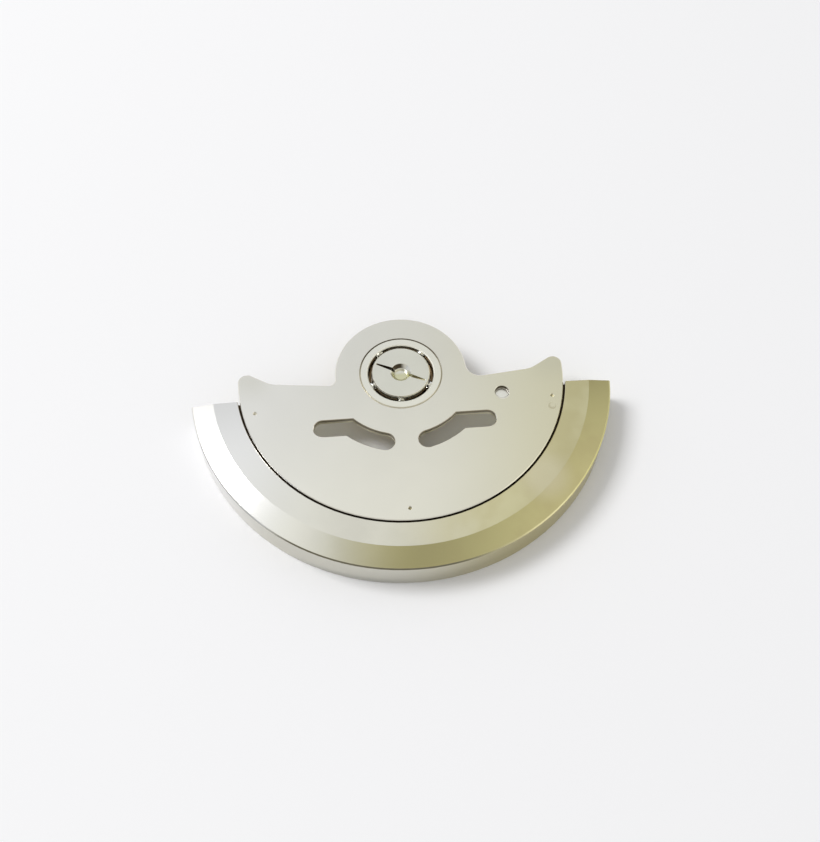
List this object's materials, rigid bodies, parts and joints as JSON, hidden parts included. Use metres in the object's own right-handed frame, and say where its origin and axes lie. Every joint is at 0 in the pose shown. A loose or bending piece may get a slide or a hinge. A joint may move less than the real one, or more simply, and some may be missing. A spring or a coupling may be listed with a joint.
{
  "type": "automatic watch rotor",
  "caption": "Half-disc winding rotor for an automatic watch: flat carrier plate with kinked slots, heavy bevelled rim, ball bearing hub with a slotted core, and a drive gear beneath.",
  "frame": {"origin": "on the rotor axis, in the plane where the bearing core seats on the movement, at the root of the threaded stud", "axes": "+Z along the rotor axis, up out of the movement; the heavy rim hangs towards -Y; +X to the right, seen from above with the rim nearest"},
  "size_m": [0.0266, 0.0176, 0.0026],
  "materials": {
    "plated_plate": "satin",
    "heavy_metal": "satin",
    "rivet_steel": "satin",
    "race_steel": "polished",
    "core_steel": "satin",
    "ball_steel": "polished",
    "cage_bronze": "satin",
    "gear_brass": "satin"
  },
  "bodies": {
    "core": {"core_screw": "core_steel", "inner_race_cone": "race_steel"},
    "rotor": {"rotor_plate": "plated_plate", "heavy_weight": "heavy_metal", "weight_rivets": "rivet_steel", "bearing_outer_race": "race_steel", "drive_gear": "gear_brass"},
    "cage": {"ball_cage": "cage_bronze"},
    "ball_1": {"ball_1": "ball_steel"},
    "ball_2": {"ball_2": "ball_steel"},
    "ball_3": {"ball_3": "ball_steel"},
    "ball_4": {"ball_4": "ball_steel"},
    "ball_5": {"ball_5": "ball_steel"}
  },
  "joints": [
    {"name": "rotor_spin", "type": "hinge", "parent": "core", "child": "rotor", "pos_m": [0, 0, 0.0008], "axis": [0, 0, 1], "continuous": true},
    {"name": "cage_orbit", "type": "hinge", "parent": "core", "child": "cage", "pos_m": [0, 0, 0.0008], "axis": [0, 0, 1], "continuous": true},
    {"name": "ball_1_roll", "type": "hinge", "parent": "cage", "child": "ball_1", "pos_m": [0.00124, 0.00153, 0.0008], "axis": [0, 0, 1], "continuous": true},
    {"name": "ball_2_roll", "type": "hinge", "parent": "cage", "child": "ball_2", "pos_m": [-0.00108, 0.00166, 0.0008], "axis": [0, 0, 1], "continuous": true},
    {"name": "ball_3_roll", "type": "hinge", "parent": "cage", "child": "ball_3", "pos_m": [-0.00191, -0.00051, 0.0008], "axis": [0, 0, 1], "continuous": true},
    {"name": "ball_4_roll", "type": "hinge", "parent": "cage", "child": "ball_4", "pos_m": [-0.0001, -0.00197, 0.0008], "axis": [0, 0, 1], "continuous": true},
    {"name": "ball_5_roll", "type": "hinge", "parent": "cage", "child": "ball_5", "pos_m": [0.00184, -0.00071, 0.0008], "axis": [0, 0, 1], "continuous": true}
  ],
  "couplings": [
    {"joint": "cage_orbit", "follows": "rotor_spin", "ratio": 0.5537},
    {"joint": "ball_1_roll", "follows": "rotor_spin", "ratio": 4.6014},
    {"joint": "ball_2_roll", "follows": "rotor_spin", "ratio": 4.6014},
    {"joint": "ball_3_roll", "follows": "rotor_spin", "ratio": 4.6014},
    {"joint": "ball_4_roll", "follows": "rotor_spin", "ratio": 4.6014},
    {"joint": "ball_5_roll", "follows": "rotor_spin", "ratio": 4.6014}
  ]
}
